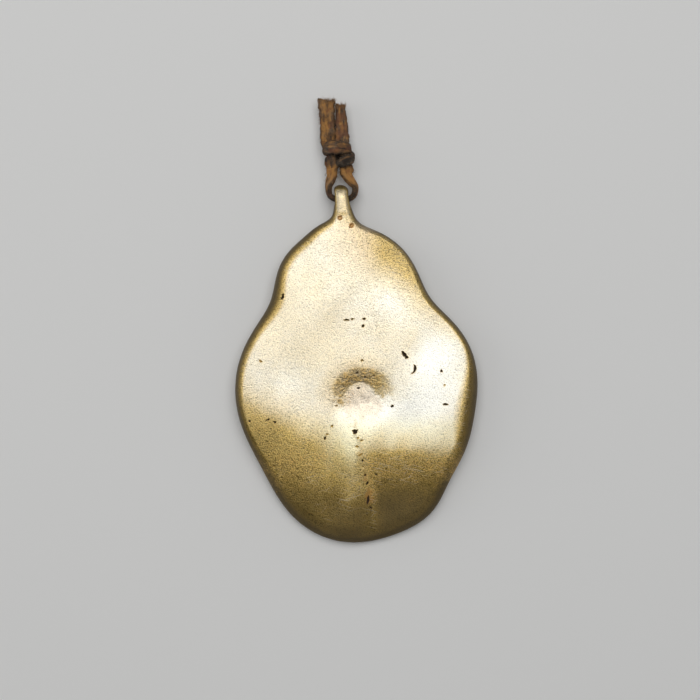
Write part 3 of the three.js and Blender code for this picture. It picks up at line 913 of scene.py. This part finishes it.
def pitPatches():
    patches = []
    step = relief["pitStep"]
    for pitX, pitY, long, *_ in pits:
        for ring in range(1, math.ceil(0.85 * long / step)):
            count = max(6, round(2 * math.pi * ring))
            turn = np.linspace(0, 2 * math.pi, count, endpoint=False) + ring
            x = pitX + ring * step * np.cos(turn)
            y = pitY + ring * step * np.sin(turn)
            patches.append(np.stack([x, y], axis=1))
    return np.vstack(patches)


def nearPit(x, y):
    near = np.zeros(len(x), bool)
    for pitX, pitY, long, *_ in pits:
        near |= np.hypot(x - pitX, y - pitY) < 0.85 * long + 0.03
    return near


# where the mesh has to be fine: the dent, the crease and the neck
def isWorked(x, y):
    far, _, reach = dentRing(x, y)
    return (far < reach) | (creaseDistance(x, y) < 1.8) | (y > shoulderY - 3)


def triangulate(ring, inner):
    places = [Vector(place) for place in np.vstack([ring, inner])]
    edges = [(at, (at + 1) % len(ring)) for at in range(len(ring))]
    result = delaunay_2d_cdt(places, edges, [], 1, 1e-6, False)
    return np.array([tuple(place) for place in result[0]]), result[2]


def makeCasting(material):
    ring = traceOutline(relief["outlineStep"])
    ahead = np.roll(ring, -1, axis=0) - np.roll(ring, 1, axis=0)
    inward = np.stack([-ahead[:, 1], ahead[:, 0]], axis=1)
    inward /= np.linalg.norm(inward, axis=1, keepdims=True)
    insets = relief["insets"]
    bands = [ring + inward * inset for inset in insets]
    border = insets[-1] + 0.12

    plain = hexGrid(relief["gridStep"], border, lambda x, y: ~nearPit(x, y) & ~isWorked(x, y))
    fine = hexGrid(relief["workedStep"], border, lambda x, y: ~nearPit(x, y) & isWorked(x, y))
    patches = pitPatches()
    patches = patches[outlineDistance(*patches.T) < -border]
    face, faceTriangles = triangulate(ring, np.vstack(bands + [plain, fine, patches]))
    plain = hexGrid(relief["backStep"], border, lambda x, y: True)
    back, backTriangles = triangulate(ring, np.vstack(bands[::2] + [plain]))
    upper, rim, _, faceFall, _ = castingHeights(*face.T)
    upper = upper + faceRelief(*face.T, faceFall)
    upper[:len(ring)] = rim[:len(ring)]
    _, _, lower, _, backFall = castingHeights(*back.T)
    dip = relief["backHollow"] * (1 + ripples(back, 41, 14, 5, 10)) * (back[:, 1] < shoulderY - 3)
    lower = lower + np.maximum(dip, 0) * backFall
    top = np.column_stack([face, upper])
    bottom = np.column_stack([back, lower])[len(ring):]
    shift = len(face) - len(ring)
    faces = [tuple(triangle) for triangle in faceTriangles]
    for triangle in backTriangles:
        faces.append(tuple(at if at < len(ring) else at + shift for at in reversed(triangle)))
    piece = newPiece("brass_casting", np.vstack([top, bottom]), faces, material)
    print("casting skinned:", len(piece.data.vertices), "points,", len(faces), "faces")
    return piece


# the bore of the eye: a round hole along X with worn, flared mouths
def makeBore(material):
    sides, rings = 64, 24
    reach = neck["width"] * 1.2
    vertices = []
    for along in np.linspace(-reach, reach, rings + 1):
        r = neck["boreR"] + neck["flare"] * min(abs(along) / (neck["width"] / 2), 1.6) ** 2
        for side in range(sides):
            turn = 2 * math.pi * side / sides
            vertices.append(eye + np.array([along, r * math.cos(turn), r * math.sin(turn)]))
    faces = tubeFaces(rings + 1, sides)
    faces.append(tuple(reversed(range(sides))))
    faces.append(tuple(range(rings * sides, (rings + 1) * sides)))
    return newPiece("bore", vertices, faces, material)


def cutBore(piece, bore):
    cut = piece.modifiers.new("bore", "BOOLEAN")
    cut.object = bore
    cut.operation = "DIFFERENCE"
    cut.solver = "EXACT"
    depsgraph = bpy.context.evaluated_depsgraph_get()
    mesh = bpy.data.meshes.new_from_object(piece.evaluated_get(depsgraph))
    piece.modifiers.clear()
    piece.data = mesh
    mesh.name = piece.name
    bpy.data.objects.remove(bore)


# how far in from the outline the painted shade along the rim fades out, by direction in degrees
rimShadeFade = [(-10, 4.4), (20, 1.9), (50, 1.2), (80, 1.3), (118, 2.9), (170, 2.5)]
rimShadeFade += [(205, 2.7), (235, 4.8), (304, 5.2), (322, 3.1), (338, 4.3)]
# soft areas of the face: how strong each is, its middle, and half its width and its height
softAreas = {
    # painted highlights, drawn as pale polish where the face catches the lamp
    "highlightSpots": [
        (0.27, 13.3, -2, 6, 9.5),
        (0.25, 5, -9.2, 10, 3.6),
        (0.25, -2.2, -14, 2.2, 4),
        (0.2, -12, -3.6, 8, 4),
        (0.12, 6, 11, 4, 3),
    ],
    "rusty": [(0.8, 2.2, -22.6, 1.1, 2.2), (0.72, 1.5, -18.6, 0.7, 2.4)],
    "dentCorner": [(1, -2.6, -6.2, 1.7, 1.2)],
    "brown": [(0.45, -11, -17.5, 8, 5)],
    "grainy": [(0.05, -9, -1, 8, 9)],
    # painted shade at the neck's foot
    "neckFootShade": [(0.5, -2.2, 25.8, 1.8, 0.6)],
    "golden": [(0.5, -2.5, -16.5, 3.2, 4)],
}
# the last two pits, at the foot of the neck, hold rust
rustPits = {"count": 2, "strength": 1.2, "reach": 0.52}


def softArea(name, x, y, join=np.add):
    total = np.zeros_like(x)
    for strength, areaX, areaY, halfX, halfY in softAreas[name]:
        out = np.hypot((x - areaX) / halfX, (y - areaY) / halfY)
        total = join(total, strength * np.exp(-(out ** 2)))
    return total


# brown tarnish on the upper wall of the dent, patina with painted shade where that wall faces from
# the light; the dull skin on its floor; and the dull ring round it
def dentWearAndShade(x, y, flat):
    far, floor, reach = dentRing(x, y)
    cloud = ease(-0.9, 0.9, ripples(flat, 51, 1.7, 0.5))
    upward = (y - dent["y"]) / far - 0.1 * (x - dent["x"]) / far
    ragged = far - floor + 0.22 * ripples(flat, 53, 1.8, 0.5) * ease(-0.3, 0.3, upward)
    wall = ease(0, 0.6, ragged) * (1 - ease(0.25, 1, ragged / (reach - floor)))
    # only the upper wall, where the dent's shade falls: patina with painted shade
    stain = wall * ease(0, 0.7, upward) * mixed(0.3, 1.15, cloud)
    stain = np.maximum(stain, softArea("dentCorner", x, y) * mixed(0.4, 0.9, cloud))
    lift = ease(-0.7, 0.3, upward)
    halo = lift * (1 - ease(0.75, 1.35, far / reach)) * ease(1, 0.2, (x - dent["x"]) / far)
    ragged = far / mixed(0.55 * reach, floor, lift) + 0.1 * ripples(flat, 55, 2.4, 0.8)
    return stain, 0.8 * (1 - ease(0.6, 1.4, ragged)), halo


# painted shade: how much darker the colour is drawn as the face turns away from the light, at
# slopes, below the brow and at the neck's tip; on the neck's flat top it goes below zero, a painted
# highlight
def slopeShadeAndHighlight(mesh, x, y, run, side, necked):
    normals = readValues(mesh.vertex_normals, "vector")
    far, _, reach = dentRing(x, y)
    inDent = 1 - ease(0.75, 1, far / reach)
    slope = np.hypot(normals[:, 0], normals[:, 1]) / np.maximum(normals[:, 2], 0.05)
    slope = slope * (1 - inDent * ease(-0.04, 0.04, normals[:, 1]))
    turned = 0.5 * ease(0.025, 0.15, slope) + 0.2 * ease(0.15, 0.5, slope)
    # painted shade below the brow: the colour turns golden and darker as the face falls away, least on
    # the ridge left of the crease
    ridge = mixed(0.2, 0.6, ease(-1.5, -9, x)) * ease(0.015, 0.22, run)
    plain = 0.7 * ease(0.006, 0.11, run) + 0.2 * ease(0.09, 0.25, run)
    plain = mixed(plain, 0.8 * ease(0.02, 0.23, run), ease(7, 15, x))
    turned = np.maximum(turned, mixed(ridge, plain, side))
    # painted shade at the neck's tip; on the neck the steep sides get painted shade and the flat top a
    # painted highlight
    tip = 0.9 * ease(29.4, 30.3, y)
    return mixed(turned, 0.8 * ease(0.4, 1.4, slope) + tip - 0.45, necked)


# what the finish needs to know of each point: dirt and tarnish in the hollows, rust, the dull
# cast skin, and rubbed: how far hands have rubbed it bright, which they do on the highest
# places, mixed with painted highlights and with painted shade where the face turns away, below
# the brow, along the rim and off the face
def storeWearAndShade(piece):
    mesh = piece.data
    x, y, z = (readValues(mesh.vertices, "co").astype(float) / mm).T
    flat = np.stack([x, y], axis=1)
    _, dirt = pitField(x, y)
    _, rim, _, _, _ = castingHeights(x, y)
    onFace = ease(-0.6, 0.2, z - rim)
    necked = ease(shoulderY - 1, shoulderY + 2, y)
    stain, raw, halo = dentWearAndShade(x, y, flat)
    run = browRun(x, y) + 0.006 * ripples(flat, 54, 8, 3)
    lineOff = creaseOffset(x, y)
    side = ease(-0.5, 2.4, lineOff)
    # painted shade right of the crease below the brow; the brown area at the lower left is patina
    brown = side * ease(0.02, 0.16, run) * (1 - 0.85 * ease(0.28, 0.55, run)) * 0.45
    brown = np.maximum(brown, softArea("brown", x, y))
    streak = ease(-0.4, 1.2, ripples(flat, 52, 2.4, 0.8))
    furrow = np.exp(-((creaseDistance(x, y) / 0.8) ** 2)) * streak
    # painted shade in a band just right of the crease, where the face steps down
    creaseShade = ease(0.1, 0.5, lineOff) * ease(2.2, 0.9, lineOff)
    creaseShade = creaseShade * ease(-13, -15, y) * ease(-26, -23, y)
    inBore = ease(neck["boreR"] + 0.55, neck["boreR"] + 0.1, np.hypot(y - eye[1], z - eye[2]))
    rust = softArea("rusty", x, y, np.maximum)
    for pitX, pitY, *_ in pits[-rustPits["count"]:]:
        near = np.exp(-(np.hypot(x - pitX, y - pitY) / rustPits["reach"]) ** 4)
        rust = np.maximum(rust, rustPits["strength"] * near)
    # painted shade: the crown's upper right and the neck's foot drawn duller and darker
    paintedShade = 0.68 * ease(11.5, 20, 0.6 * x + 0.8 * y) * ease(-6, 3, x)
    paintedShade = np.maximum(paintedShade, softArea("neckFootShade", x, y))
    # painted shade: the foot drawn darker below the brow
    low = 0.7 * ease(0.2, 0.62, run) * ease(-9, -2, x) * (1 - 0.39 * ease(0, 3, x))
    low = low + 0.42 * ease(0.3, 0.75, run) * ease(-2, -9, x)
    turned = slopeShadeAndHighlight(mesh, x, y, run, side, necked)
    # rubbed: rubbed wear, with painted highlights added and painted shade taken off
    rubbed = 1 + softArea("highlightSpots", x, y) - np.maximum(turned, paintedShade)
    rubbed = rubbed - low - softArea("grainy", x, y) - 0.3 * halo
    # painted shade along the rim: the colour darkens toward the outline
    rimShadeWidth = mixed(widthRound(rimShadeFade, x, y), 0.85, necked)
    rubbed = np.minimum(rubbed, mixed(-0.6, 1.4, ease(0, rimShadeWidth, -outlineDistance(x, y))))
    crown = ease(13, 20, y) * ease(-7, 0, x) * ease(5, 1, x) * (1 - necked)
    raw = np.maximum(np.maximum(raw, 0.3 * halo), 0.45 * crown)
    golden = 0.5 * ease(-7, -12, y) - 0.3 * ease(-19, -26, y)
    tarnish = np.maximum(np.maximum(stain, furrow * 0.5), brown + 0.35 * creaseShade)
    fields = {
        "dirt": np.maximum(dirt * onFace, 0.6 * inBore),
        "tarnish": tarnish * onFace,
        "rust": rust * onFace,
        "raw": raw * onFace,
        "golden": golden + softArea("golden", x, y),
        # off the face, on the rim's side and the back, painted shade
        "rubbed": mixed(-0.4, rubbed, onFace),
    }
    for name, values in fields.items():
        storeValues(mesh, name, values)


# cast brass: pale where it stands high and brown toward its foot and its edges, partly from wear
# and partly painted light: painted highlights on the high spots and the neck, painted shade where
# the face turns away and along the rim; with a sandy grain, fine scratches, and dirt in its pits
brass = {
    # colours along rubbed: the darker stops stand partly for painted shade, from the rim's edge to the
    # foot, and paintedHighlight is the painted highlight
    "wearAndShadeRange": (-0.5, 1.3),
    "wearAndShadeStops": [("edge", -0.5), ("deep", 0), ("warm", 0.45), ("pale", 1), ("paintedHighlight", 1.3)],
    "paintedHighlight": (0.97, 0.95, 0.86),
    "pale": (0.88, 0.79, 0.6),
    "warm": (0.66, 0.49, 0.2),
    "deep": (0.34, 0.24, 0.08),
    "edge": (0.12, 0.085, 0.032),
    "raw": (0.78, 0.67, 0.53),
    "speck": (0.66, 0.59, 0.5),
    "tarnish": (0.68, 0.46, 0.17),
    "golden": (1, 0.95, 0.66),
    "dirt": (0.06, 0.035, 0.018),
    "rust": (0.5, 0.25, 0.06),
    "roughness": 0.37,
    "cloudSize": 0.007,
    "mottleSize": 0.0012,
    "grainSize": 0.00018,
    "sandSize": 0.00022,
    "bumpDepth": 0.000038,
    "tarnished": 0.85,
    "rusted": 0.8,
    "scratched": 0.7,
}
# thin lines, each set of them in its own direction: turn, length, width and how rare they are
scratchSets = [
    (-0.25, 0.006, 0.00012, 0.66),
    (0.3, 0.005, 0.00011, 0.68),
    (0.9, 0.0035, 0.0001, 0.715),
    (2.1, 0.003, 0.0001, 0.73),
]


def scratchLines(maker, place, turn, length, width, rare):
    inputs = {"Vector": place, "Scale": (length, width, 1), "Rotation": (0, 0, turn)}
    turned = maker.node("ShaderNodeMapping", {"vector_type": "TEXTURE"}, inputs)
    return maker.ramp(maker.noise(turned, 1, 1, 0.4), rare, rare + 0.04)


def brassFinish():
    material, maker = newFinish("brass")
    place = maker.place()
    stored = ("dirt", "tarnish", "rust", "raw", "golden", "rubbed")
    dirt, tarnish, rust, raw, golden, rubbed = [maker.attribute(name) for name in stored]
    clouds = maker.noise(place, brass["cloudSize"], 3, 0.55)
    mottle = maker.noise(place, brass["mottleSize"], 3, 0.6)
    sandy = maker.noise(place, brass["sandSize"], 2, 0.6)
    grain = maker.noise(place, brass["grainSize"], 2, 0.65)
    # painted light and shade with wear: the colour runs through the stops by rubbed
    wearAndShade = rubbed + (clouds - 0.5) * 0.35 + (mottle - 0.5) * 0.25 + (grain - 0.5) * 0.1
    low, high = brass["wearAndShadeRange"]
    stops = [((at - low) / (high - low), brass[name]) for name, at in brass["wearAndShadeStops"]]
    colour = maker.node("ShaderNodeValToRGB", {"stops": stops}, {"Fac": (wearAndShade - low) / (high - low)})
    colour = maker.blend(raw + (mottle - 0.5) * raw, colour, brass["raw"])
    speck = maker.ramp(sandy + (grain - 0.5) * 0.6 + (mottle - 0.5) * 0.4, 0.52, 0.72)
    colour = maker.tint(colour, brass["speck"], speck * (1.5 - rubbed).most(0.15).least(0.9))
    stained = maker.ramp(tarnish + (mottle - 0.5) * 0.9 + (sandy - 0.5) * 0.7, 0.15, 0.95)
    colour = maker.blend(stained * brass["tarnished"], colour, brass["tarnish"])
    # the duller the skin, the sandier it looks
    sanded = (3 - rubbed * 1.55 + tarnish * 0.8).most(1.2).least(2.9)
    sanded = sanded * (0.4 + maker.ramp(rubbed, -0.6, 0.4) * 0.6)
    shade = 0.97 + ((sandy - 0.5) * 1.3 + (grain - 0.5) * 0.7) * sanded
    colour = maker.tint(colour, shade.least(1.5 - rubbed * 0.38).most(0.2))
    colour = maker.tint(colour, brass["golden"], golden)
    rusted = maker.ramp(rust + (mottle - 0.5) * 1.2 + (grain - 0.5) * 0.8, 0.4, 0.9)
    colour = maker.blend(rusted * brass["rusted"], colour, brass["rust"])
    soiled = maker.ramp(dirt + (mottle - 0.5) * 0.2, 0.35, 0.7)
    colour = maker.blend(soiled, colour, brass["dirt"])
    scratches = scratchLines(maker, place, *scratchSets[0])
    for row in scratchSets[1:]:
        scratches = scratches.most(scratchLines(maker, place, *row))
    scratches = scratches * (1 - rubbed * 0.7) * maker.ramp(clouds, 0.38, 0.58)
    scratches = scratches * maker.ramp(rubbed, -0.25, 0.1)
    colour = maker.blend(scratches * brass["scratched"] * (1 - soiled), colour, brass["pale"])
    roughness = brass["roughness"] + (grain - 0.5) * 0.2 + (mottle - 0.5) * 0.1
    crusted = maker.ramp(rubbed, 0.1, -0.5)
    roughness = roughness + soiled * 0.45 + stained * 0.08 - scratches * 0.08 + crusted * 0.2
    rough = (grain + sandy) * (1.4 - rubbed * 0.4 + tarnish * 1.5)
    normal = maker.bump(rough - scratches * 0.5, brass["bumpDepth"])
    metallic = (1 - soiled * 0.8 - rusted * 0.4) * (1 - crusted * 0.5)
    inputs = {"Base Color": colour, "Roughness": roughness, "Metallic": metallic, "Normal": normal}
    finishShader(maker, inputs)
    return material


brassMaterial = brassFinish()
plate = makeCasting(brassMaterial)
cutBore(plate, makeBore(brassMaterial))
storeWearAndShade(plate)
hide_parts("amulet_plate")
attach(plate, "amulet")
print("casting finished")


# a plain pale table under soft light: one large lamp overhead, toward the top of the photograph,
# and a weak one at the left
studio = {
    "floor": (0.82, 0.82, 0.81),
    "floorSize": 3,
    "sky": (1, 1, 1),
    "horizon": 0.5,
    "zenith": 0.12,
    "key": {"place": (0.02, 0.21, 0.62), "size": (0.7, 0.6), "glow": 2.0},
    "side": {"place": (-0.55, 0.12, 0.3), "size": (0.3, 0.5), "glow": 1.0},
}


def makeFloor():
    material, maker = newFinish("floor")
    finishShader(maker, {"Base Color": studio["floor"], "Roughness": 0.7})
    half = studio["floorSize"] / 2 / mm
    corners = [(-half, -half, 0), (half, -half, 0), (half, half, 0), (-half, half, 0)]
    floor = newPiece("floor", corners, [(0, 1, 2, 3)], material)
    floor.location.z = -0.02 * mm


def makeLamp(name):
    settings = studio[name]
    lamp = bpy.data.lights.new(name, "AREA")
    lamp.shape = "RECTANGLE"
    lamp.size, lamp.size_y = settings["size"]
    lamp.energy = settings["glow"] * math.pi * lamp.size * lamp.size_y
    holder = addObject(name, lamp)
    holder.location = settings["place"]
    holder.rotation_mode = "QUATERNION"
    holder.rotation_quaternion = Vector(settings["place"]).to_track_quat("Z", "Y")


def makeWorld():
    world = bpy.data.worlds.new("studio")
    world.use_nodes = True
    bpy.context.scene.world = world
    maker = Maker(world.node_tree)
    way = maker.node("ShaderNodeTexCoord", out="Generated")
    height = maker.node("ShaderNodeSeparateXYZ", {}, {"Vector": way}, "Z")
    level = studio["horizon"] + maker.ramp(height, 0.02, 0.6) * (studio["zenith"] - studio["horizon"])
    shader = maker.node("ShaderNodeBackground", {}, {"Color": studio["sky"], "Strength": level})
    maker.node("ShaderNodeOutputWorld", {}, {"Surface": shader})


makeFloor()
makeWorld()
makeLamp("key")
makeLamp("side")
bpy.context.scene.view_settings.view_transform = "Standard"
print("studio lit")
